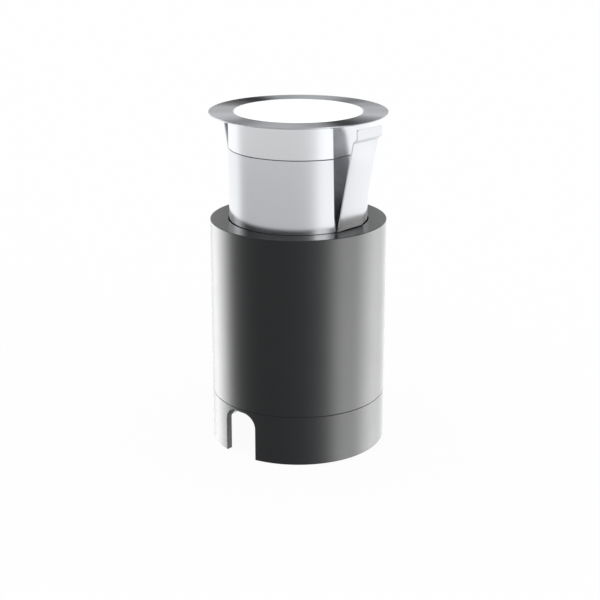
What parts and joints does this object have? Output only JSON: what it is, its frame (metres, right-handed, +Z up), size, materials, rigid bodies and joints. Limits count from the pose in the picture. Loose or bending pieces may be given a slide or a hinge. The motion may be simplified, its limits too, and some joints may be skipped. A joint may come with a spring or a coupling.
{
  "type": "recessed light",
  "caption": "Round recessed floor light with flush diffuser and two leaf springs, drawn up out of a tubular casing that it slides into, with a cable slot in the base ring.",
  "frame": {"origin": "centre of the ring face that the casing stands on", "axes": "+Z up along the casing's axis, leaf springs towards +X and -X, cable slot towards -Y"},
  "size_m": [0.0616, 0.06, 0.1151],
  "materials": {
    "casing_black": "fine satin black moulding",
    "trim_steel": "turned stainless steel",
    "housing_aluminium": "polished and anodised",
    "opal_acrylic": "opal, satin face",
    "rubber_black": "matt",
    "cup_white": "matt white moulding",
    "board_white": "white solder mask",
    "led_phosphor": "phosphor gel in a white frame",
    "screw_steel": "plain steel",
    "pad_grey": "matt",
    "lead_red": "extruded insulation",
    "board_green": "green solder mask",
    "brass": "turned",
    "capacitor_sleeve": "shrunk sleeve",
    "ferrite": "sintered",
    "enamelled_copper": "enamelled wire",
    "chip_black": "moulded epoxy",
    "terminal_green": "moulded",
    "gland_black": "moulded nylon",
    "spring_steel": "bright rolled spring strip"
  },
  "bodies": {
    "casing": {"casing_tube": "casing_black", "base_ring": "casing_black"},
    "luminaire": {"trim_head": "trim_steel", "housing": "housing_aluminium", "diffuser": "opal_acrylic", "diffuser_seal": "rubber_black", "head_seal": "rubber_black", "light_cup": "cup_white", "led_board": "board_white", "leds": "led_phosphor", "led_board_screws": "screw_steel", "thermal_pad": "pad_grey", "lead_grommet": "rubber_black", "led_leads": "lead_red", "driver_board": "board_green", "driver_spacers": "brass", "driver_screws": "screw_steel", "capacitors": "capacitor_sleeve", "choke_core": "ferrite", "choke_winding": "enamelled_copper", "driver_chips": "chip_black", "terminal_block": "terminal_green", "terminal_screws": "brass", "bottom_cap": "housing_aluminium", "cap_seal": "rubber_black", "cap_screws": "screw_steel", "gland_body": "gland_black", "gland_washer": "rubber_black", "gland_locknut": "gland_black", "gland_seal": "rubber_black", "gland_nut": "gland_black", "spring_foot_right": "spring_steel", "spring_foot_left": "spring_steel", "spring_screws": "screw_steel"},
    "right_leaf": {"spring_blade_right": "spring_steel"},
    "left_leaf": {"spring_blade_left": "spring_steel"}
  },
  "joints": [
    {"name": "luminaire_slide", "type": "slide", "parent": "casing", "child": "luminaire", "axis": [0, 0, 1], "range_m": [-0.0359, 0]},
    {"name": "right_leaf_flex", "type": "hinge", "parent": "luminaire", "child": "right_leaf", "pos_m": [0.0226, 0, 0.0778], "axis": [0, 1, 0], "range_deg": [-12.9, 0], "deforming": ["spring_blade_right"]},
    {"name": "left_leaf_flex", "type": "hinge", "parent": "luminaire", "child": "left_leaf", "pos_m": [-0.0226, 0, 0.0778], "axis": [0, -1, 0], "range_deg": [-12.9, 0], "deforming": ["spring_blade_left"]}
  ],
  "couplings": [
    {"joint": "right_leaf_flex", "follows": "luminaire_slide", "rad_per_m": 6.27},
    {"joint": "left_leaf_flex", "follows": "luminaire_slide", "rad_per_m": 6.27}
  ]
}
